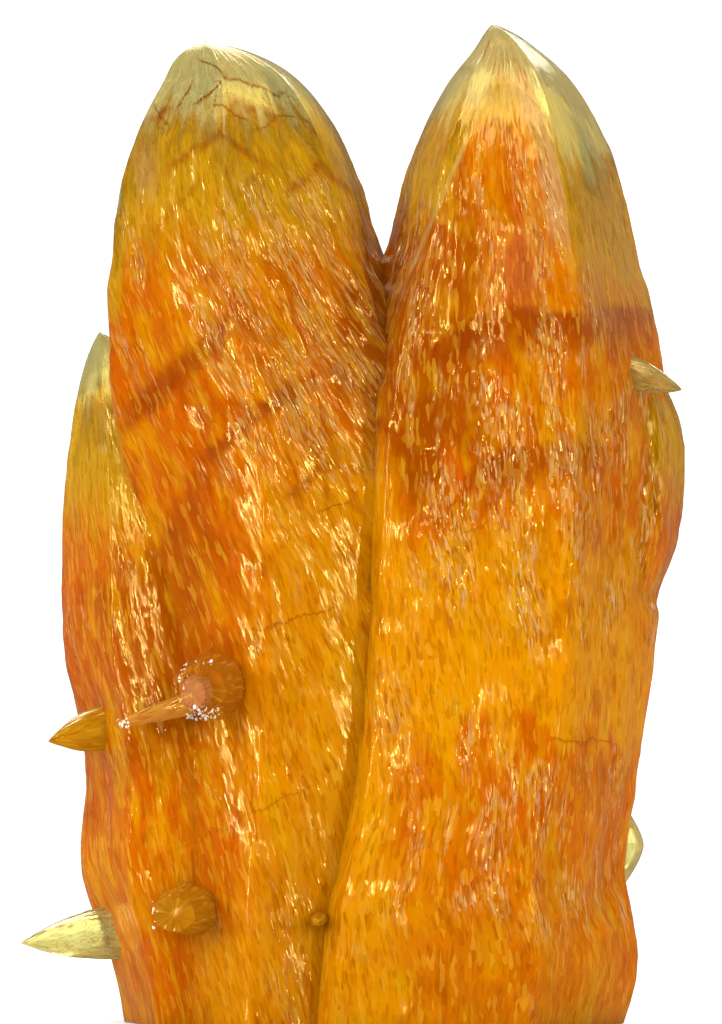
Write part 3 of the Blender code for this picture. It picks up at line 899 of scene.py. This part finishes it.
def joined(name, meshes):
    """The meshes joined in one solid, cut off flat at the base."""
    helpers = bpy.data.collections.new(name + "_parts")
    bpy.context.scene.collection.children.link(helpers)
    body = placed(name, meshes[0])
    for mesh in meshes[1:]:
        helpers.objects.link(bpy.data.objects.new(mesh.name, mesh))
    cutter = placed("below_base", below_base_box())
    join = body.modifiers.new("join", "BOOLEAN")
    join.operation = "UNION"
    join.operand_type = "COLLECTION"
    join.collection = helpers
    join.solver = "MANIFOLD"
    cut = body.modifiers.new("cut", "BOOLEAN")
    cut.operation = "DIFFERENCE"
    cut.object = cutter
    cut.solver = "MANIFOLD"
    bpy.context.view_layer.update()
    graph = bpy.context.evaluated_depsgraph_get()
    mesh = bpy.data.meshes.new_from_object(body.evaluated_get(graph))
    for helper in list(helpers.objects) + [cutter]:
        bpy.data.objects.remove(helper, do_unlink=True)
    bpy.data.collections.remove(helpers)
    body.modifiers.clear()
    fill_seams(mesh)
    body.data = mesh
    return body


def into_frame(obj):
    """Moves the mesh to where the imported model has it, and keeps it inside that model's box."""
    low, high = cad_box
    shift = np.array((low.x - LOWER_LEFT_TIP[0] * MM, high.y - REAR_LEFT_POINT_TIP[1] * MM, 0.0))
    points = np.clip(numbers(obj.data.vertices, "co", 3) + shift, np.array(low), np.array(high))
    obj.data.vertices.foreach_set("co", points.astype(np.float32).ravel())
    obj.data.update()


class Nodes:
    """Adds shader nodes and joins them, so that a pattern reads as a formula."""

    def __init__(self, tree, output):
        tree.nodes.clear()
        self.tree = tree
        self.output = self.add(output)

    def add(self, kind, inputs=(), **settings):
        node = self.tree.nodes.new("ShaderNode" + kind)
        for name, value in settings.items():
            setattr(node, name, value)
        for key, value in dict(inputs).items():
            if isinstance(value, bpy.types.NodeSocket):
                self.tree.links.new(value, node.inputs[key])
            else:
                node.inputs[key].default_value = value
        return node

    def finish(self, shader, end="Surface"):
        """Joins a shader to the output."""
        self.tree.links.new(shader.outputs[0], self.output.inputs[end])

    def surface(self, inputs):
        self.finish(self.add("BsdfPrincipled", inputs))

    def math(self, operation, a, b=0.0):
        return self.add("Math", {0: a, 1: b}, operation=operation).outputs[0]

    def attribute(self, name):
        return self.add("Attribute", attribute_name=name).outputs["Vector"]

    def part(self, vector, axis):
        return self.add("SeparateXYZ", {0: vector}).outputs[axis]

    def parts(self, name):
        """The three numbers of an attribute."""
        return self.add("SeparateXYZ", {0: self.attribute(name)}).outputs

    def vector_math(self, operation, a, b=(0.0, 0.0, 0.0)):
        return self.add("VectorMath", {0: a, 1: b}, operation=operation).outputs[0]

    def stretched(self, vector, scale):
        """The vector times a scale of its own for each axis."""
        return self.vector_math("MULTIPLY", vector, scale)

    def noise(self, vector, detail=3.0, roughness=0.55):
        inputs = {"Vector": vector, "Scale": 1.0, "Detail": detail, "Roughness": roughness}
        return self.add("TexNoise", inputs).outputs["Fac"]

    def cells(self, vector):
        """A random vector for each cell."""
        return self.add("TexVoronoi", {"Vector": vector, "Scale": 1.0}).outputs["Color"]

    def tilted(self, tilt, amount):
        """The surface's normal, tilted by a random vector times an amount."""
        centred = self.vector_math("SUBTRACT", tilt, (0.5, 0.5, 0.5))
        scaled = self.add("VectorMath", {0: centred, "Scale": amount}, operation="SCALE").outputs[0]
        normal = self.add("NewGeometry").outputs["Normal"]
        return self.vector_math("NORMALIZE", self.vector_math("ADD", normal, scaled))

    def between(self, value, low, high, start=0.0, end=1.0):
        """Runs smoothly from start to end as the value goes from low to high."""
        inputs = {"Value": value, "From Min": low, "From Max": high, "To Min": start, "To Max": end}
        return self.add("MapRange", inputs, interpolation_type="SMOOTHSTEP").outputs["Result"]

    def minus(self, a, b):
        return self.math("SUBTRACT", a, b)

    def plus(self, a, b):
        return self.math("ADD", a, b)

    def times(self, a, b):
        return self.math("MULTIPLY", a, b)

    def most(self, a, b):
        return self.math("MAXIMUM", a, b)

    def band(self, value, middle, half, soft):
        """1 within half of the middle, and 0 from soft outside that."""
        away = self.math("ABSOLUTE", self.minus(value, middle))
        return self.between(away, half, half + soft, 1.0, 0.0)

    def layered(self, colour, *layers):
        """A colour under layers, which are given by their share and colour."""
        for share, over in layers:
            colour = self.mix(share, colour, over)
        return colour

    def mix(self, share, a, b):
        """From colour a to colour b."""
        node = self.tree.nodes.new("ShaderNodeMix")
        node.data_type = "RGBA"
        for key, value in ((0, share), (6, a), (7, b)):
            if isinstance(value, bpy.types.NodeSocket):
                self.tree.links.new(value, node.inputs[key])
            else:
                node.inputs[key].default_value = value if key == 0 else (*value, 1.0)
        return node.outputs[2]


def new_material(name):
    material = bpy.data.materials.new(name)
    material.use_nodes = True
    return material, Nodes(material.node_tree, "OutputMaterial")


def honey(nodes):
    """The colours of calcite by place: orange and amber, paler near the tips, with painted shade in the
    relief's hollows and a painted glow, painted seam light and a painted glint among the amber places. Also
    how near a tip it is.
    """
    growth = nodes.attribute("growth")
    below_tip, _, _ = nodes.parts("zone")
    marks, warm, raised = nodes.parts("marks")
    shade, tint, lilac = nodes.parts("blade")
    streaks = nodes.noise(nodes.stretched(growth, (0.9, 0.9, 0.36)), detail=2.0, roughness=0.6)
    colour = nodes.layered(
        DEEP_ORANGE,
        (nodes.between(shade, 0.3, 0.65), ORANGE),
        # Amber where warm, which also holds the painted glow, the painted light in the seam and the painted
        # glint.
        (nodes.most(warm, 0.0), AMBER),
        (nodes.most(nodes.times(warm, -1.0), 0.0), RED_ORANGE),
        (nodes.between(tint, 0.55, 0.95, 0.0, 0.5), BRIGHT_AMBER),
        (nodes.between(tint, 0.24, 0.1, 0.0, 0.4), RED_ORANGE),
        # Painted shade: darker red-orange where the relief is low, in its hollows.
        (nodes.between(raised, 0.0, -0.4, 0.0, 0.15), RED_ORANGE),
        (nodes.between(streaks, 0.5, 0.75, 0.0, 0.4), BRIGHT_AMBER),
        (nodes.between(streaks, 0.44, 0.27, 0.0, 0.35), RED_ORANGE),
    )
    faded = nodes.plus(below_tip, nodes.times(nodes.minus(streaks, 0.5), 7.0))
    colour = nodes.mix(nodes.between(faded, 11.0, 19.0), OLIVE_AMBER, colour)
    colour = nodes.mix(nodes.between(faded, 1.5, 8.5), PALE_YELLOW, colour)
    colour = nodes.layered(colour, (nodes.times(marks, 0.92), RED_BROWN), (lilac, LILAC_GREY))
    return colour, nodes.between(faded, 2.5, 14.0, 1.0, 0.0)


def skin_material():
    """A silky, fibrous face with painted sheen and painted glints, cloudy over the body and clear near the
    tips and in the small crystals.
    """
    material, nodes = new_material("calcite_skin")
    growth = nodes.attribute("growth")
    _, pale, silk = nodes.parts("zone")
    above_trace, trace, sparkle = nodes.parts("trace")
    colour, near_tip = honey(nodes)
    mottle = nodes.noise(nodes.stretched(growth, (1.3, 1.3, 0.55)), detail=2.0, roughness=0.7)
    greyed = nodes.times(nodes.between(mottle, 0.5, 0.36, 0.0, 0.4), nodes.between(near_tip, 0.3, 0.8))
    hair = nodes.times(nodes.band(mottle, 0.5, 0.004, 0.02), nodes.band(near_tip, 0.75, 0.15, 0.25))
    veil = nodes.times(nodes.between(mottle, 0.52, 0.4, 0.0, 0.32), nodes.between(near_tip, 0.02, 0.3))
    colour = nodes.layered(
        colour,
        # Clear yellow near the tips and in the pale small crystals, and as painted highlights along the
        # right crystal's ridges.
        (nodes.most(pale, nodes.between(near_tip, 0.7, 1.0)), CLEAR_YELLOW),
        (greyed, OLIVE_GREY),
        (nodes.times(hair, 0.6), FRACTURE_BROWN),
        (nodes.times(veil, nodes.between(near_tip, 0.9, 0.6)), OLIVE_BROWN),
        (nodes.most(nodes.times(pale, -1.0), 0.0), STUB_BROWN),
    )
    clear = nodes.most(near_tip, pale)
    threads = nodes.noise(nodes.stretched(growth, (1.9, 1.9, 0.5)), detail=1.0)
    ragged = nodes.plus(silk, nodes.times(nodes.minus(threads, 0.5), 0.8))
    silky = nodes.times(nodes.between(ragged, -0.3, 0.1), sparkle)
    silky = nodes.times(silky, nodes.between(clear, 0.4, 1.0, 1.0, 0.15))
    fine = nodes.cells(nodes.stretched(growth, (8.5, 8.5, 1.3)))
    coarse = nodes.cells(nodes.stretched(growth, (4.0, 4.0, 0.9)))
    glint_chance, fine_dark, fine_shift = (nodes.part(fine, axis) for axis in range(3))
    sheen_chance, dark_chance, amber_glint_chance = (nodes.part(coarse, axis) for axis in range(3))
    # Painted sheen and painted glints: golden and pale streaks in the silky patches.
    painted_sheen = nodes.times(nodes.between(sheen_chance, 0.45, 0.75), nodes.times(silky, 0.48))
    painted_glints = nodes.times(nodes.between(glint_chance, 0.6, 0.95), nodes.plus(nodes.times(silky, 0.68), 0.01))
    hatch = nodes.plus(nodes.times(silky, 0.4), nodes.between(threads, 0.62, 0.4, 0.08, 0.45))
    body = nodes.between(clear, 0.1, 0.7, 1.0, 0.3)
    away = nodes.plus(above_trace, nodes.times(nodes.minus(fine_shift, 0.5), 0.22))
    colour = nodes.layered(
        colour,
        # Painted sheen, then painted glints.
        (painted_sheen, PAINTED_SHEEN_GOLD),
        (painted_glints, PAINTED_GLINT_PALE),
        (nodes.times(nodes.between(fine_dark, 0.3, 0.04), hatch), HAIR_BROWN),
        (nodes.times(nodes.between(dark_chance, 0.32, 0.05, 0.0, 0.34), body), HAIR_BROWN),
        # Painted glints: bright amber flecks over the cloudy body.
        (nodes.times(nodes.between(amber_glint_chance, 0.72, 0.96, 0.0, 0.4), body), PAINTED_GLINT_AMBER),
        (nodes.times(nodes.band(away, 0.0, 0.03, 0.12), trace), FRACTURE_BROWN),
    )
    tilt = nodes.stretched(nodes.vector_math("ADD", fine, coarse), (0.5, 0.5, 0.5))
    facing = nodes.tilted(tilt, nodes.between(silky, 0.0, 1.0, 0.2, 1.2))
    nodes.surface({
        "Base Color": colour,
        "Roughness": nodes.between(threads, 0.3, 0.7, 0.08, 0.2),
        "IOR": CALCITE_IOR,
        "Specular Tint": GLOSS_TINT,
        "Transmission Weight": nodes.between(clear, 0.0, 1.0, BODY_TRANSMISSION, TIP_TRANSMISSION),
        "Normal": facing,
    })
    absorption = nodes.add("VolumeAbsorption", {"Color": ABSORPTION, "Density": ABSORPTION_DENSITY})
    nodes.finish(absorption, "Volume")
    return material


def cloud_material():
    """The cloudy inside, in the same colours, and clear towards the tips."""
    material, nodes = new_material("calcite_cloud")
    colour, near_tip = honey(nodes)
    colour = nodes.mix(0.35, colour, CLOUD_LIGHT)
    through = nodes.between(near_tip, 0.2, 0.75, 0.0, 0.92)
    nodes.surface({"Base Color": colour, "Roughness": 0.5, "IOR": 1.0, "Transmission Weight": through})
    return material


def dressed(obj, material):
    obj.data.materials.clear()
    obj.data.materials.append(material)
    obj.data.shade_smooth()
    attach(obj, "root")
    return obj


def make_skin():
    meshes = [loft(c.name, *crystal_grid(c, c.around, c.rings, core=False)) for c in CRYSTALS]
    for number, point in enumerate(POINTS):
        meshes.append(loft(point.name, *point_grid(point, number)))
    meshes.append(loft("lower_right_lens", *lens_grid(len(POINTS))))
    skin = joined("crystal_skin", meshes)
    into_frame(skin)
    dressed(skin, skin_material())
    skin.data.set_sharp_from_angle(angle=math.radians(SHARP_ANGLE))
    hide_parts(NODE)
    return skin


def make_cloud():
    meshes = []
    for crystal in CRYSTALS[:4]:
        around = 6 * round(crystal.around * CORE_AROUND / 6)
        rings = round(crystal.rings * CORE_AROUND)
        meshes.append(loft(crystal.name + "_cloud", *crystal_grid(crystal, around, rings, core=True)))
    cloud = joined("cloudy_inside", meshes)
    into_frame(cloud)
    for vertex in cloud.data.vertices:
        vertex.co.z = max(vertex.co.z, BASE_GAP * MM)
    return dressed(cloud, cloud_material())


def crumb_material(name, light, dark):
    """Pale or dark grains, mottled."""
    material, nodes = new_material(name)
    place = nodes.add("TexCoord").outputs["Object"]
    mottle = nodes.noise(nodes.stretched(place, (4000.0, 4000.0, 4000.0)), detail=2.0)
    colour = nodes.mix(nodes.between(mottle, 0.35, 0.65), dark, light)
    nodes.surface({"Base Color": colour, "Roughness": 0.15, "IOR": 1.6})
    return material


def make_crumbs(skin):
    """Grains that sit on the skin, half sunk into it: pale ones in heaps, and a single dark one."""
    shape = bmesh.new()
    tree = BVHTree.FromObject(skin, bpy.context.evaluated_depsgraph_get())
    shift = cad_box[0].x - LOWER_LEFT_TIP[0] * MM
    for heap, (x, z, wide, high, count) in enumerate(CRUMB_HEAPS):
        for number in range(count):
            across, up, size, turn = (float(chance(number, heap, 90, which)) for which in range(4))
            at = ((x + (across - 0.5) * wide) * MM + shift, -1.0, (z + (up - 0.5) * high) * MM)
            hit, _, _, _ = tree.ray_cast(Vector(at), Vector((0, 1, 0)))
            if hit is None:
                continue
            radius = (CRUMB_SMALL + (CRUMB_LARGE - CRUMB_SMALL) * size**2) * MM
            made = bmesh.ops.create_icosphere(shape, subdivisions=1, radius=radius)["verts"]
            for vertex in made:
                vertex.co *= 0.75 + 0.5 * noise.noise(vertex.co / radius * 1.7 + Vector((heap, number, 0)))
                vertex.co.z *= 0.8 + 0.8 * turn
            bmesh.ops.translate(shape, vec=hit, verts=made)
            for face in {face for vertex in made for face in vertex.link_faces}:
                face.material_index = int(heap == DARK_HEAP)
    crumbs = placed("crumbs", filled("crumbs", shape))
    crumbs.data.materials.append(crumb_material("pale_crumbs", *PALE_CRUMB))
    crumbs.data.materials.append(crumb_material("dark_crumb", *DARK_CRUMB))
    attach(crumbs, "root")
    return crumbs


def floor_material():
    material, nodes = new_material("pale_floor")
    nodes.surface({"Base Color": FLOOR_COLOUR, "Roughness": 0.6})
    return material


def make_floor():
    shape = bmesh.new()
    bmesh.ops.create_circle(shape, cap_ends=True, segments=96, radius=FLOOR_RADIUS)
    bmesh.ops.translate(shape, vec=(0, 0, -BASE_GAP * MM), verts=shape.verts)
    floor = placed("floor", filled("floor", shape))
    floor.data.materials.append(floor_material())
    floor.visible_glossy = False


def make_world():
    """White behind and above, and dark in front, so that the skin's colours stay deep."""
    world = bpy.data.worlds.new("studio")
    bpy.context.scene.world = world
    world.use_nodes = True
    nodes = Nodes(world.node_tree, "OutputWorld")
    direction = nodes.add("TexCoord").outputs["Generated"]
    behind = nodes.between(nodes.part(direction, 1), -0.2, 0.4, 0.02, 1.0)
    above = nodes.between(nodes.part(direction, 2), 0.35, 0.9, 0.0, ABOVE_LIGHT)
    studio = nodes.most(behind, above)
    path = nodes.add("LightPath").outputs
    studio = nodes.times(studio, nodes.between(path["Is Glossy Ray"], 0.0, 1.0, 1.0, REFLECTED_SHARE))
    strength = nodes.most(studio, nodes.times(path["Is Camera Ray"], BACKDROP_LIGHT))
    strength = nodes.most(strength, nodes.times(path["Is Transmission Ray"], SEEN_THROUGH_LIGHT))
    nodes.finish(nodes.add("Background", {"Color": (1, 1, 1, 1), "Strength": strength}))


def make_light(name, place, target, width, height, brightness):
    """A soft rectangular light. Its power follows from how bright its face is."""
    data = bpy.data.lights.new(name, "AREA")
    data.shape = "RECTANGLE"
    data.size = width
    data.size_y = height
    data.energy = brightness * math.pi * width * height
    light = placed(name, data)
    light.location = place
    light.rotation_euler = (Vector(target) - Vector(place)).to_track_quat("-Z", "Y").to_euler()


def make_camera():
    """Level, straight at the front, framed as the photograph is."""
    data = bpy.data.cameras.new("camera")
    data.lens = CAMERA_LENS
    data.clip_start, data.clip_end = 0.01, 10.0
    camera = placed("camera", data)
    low, _ = cad_box
    shift = low.x - LOWER_LEFT_TIP[0] * MM
    x = (FRAME_WIDE / 2 - MIDDLE_COLUMN) * PIXEL * MM + shift
    z = (BASE_ROW - FRAME_HIGH / 2) * PIXEL * MM
    distance = FRAME_HIGH * PIXEL * MM * CAMERA_LENS / data.sensor_width
    camera.location = (x, -distance, z)
    camera.rotation_euler = (math.radians(90), 0, 0)
    bpy.context.scene.camera = camera


make_camera()
make_world()
make_floor()
for light in LIGHTS:
    make_light(*light)
skin = make_skin()
make_cloud()
make_crumbs(skin)

settings = bpy.context.scene
settings.view_settings.view_transform = "Standard"
settings.cycles.use_denoising = True
settings.cycles.sample_clamp_indirect = 4.0
settings.cycles.max_bounces = 5
settings.cycles.transmission_bounces = 5
settings.cycles.diffuse_bounces = 1
settings.cycles.glossy_bounces = 2
settings.cycles.use_light_tree = False
settings.cycles.light_sampling_threshold = 0.05
settings.cycles.caustics_reflective = False
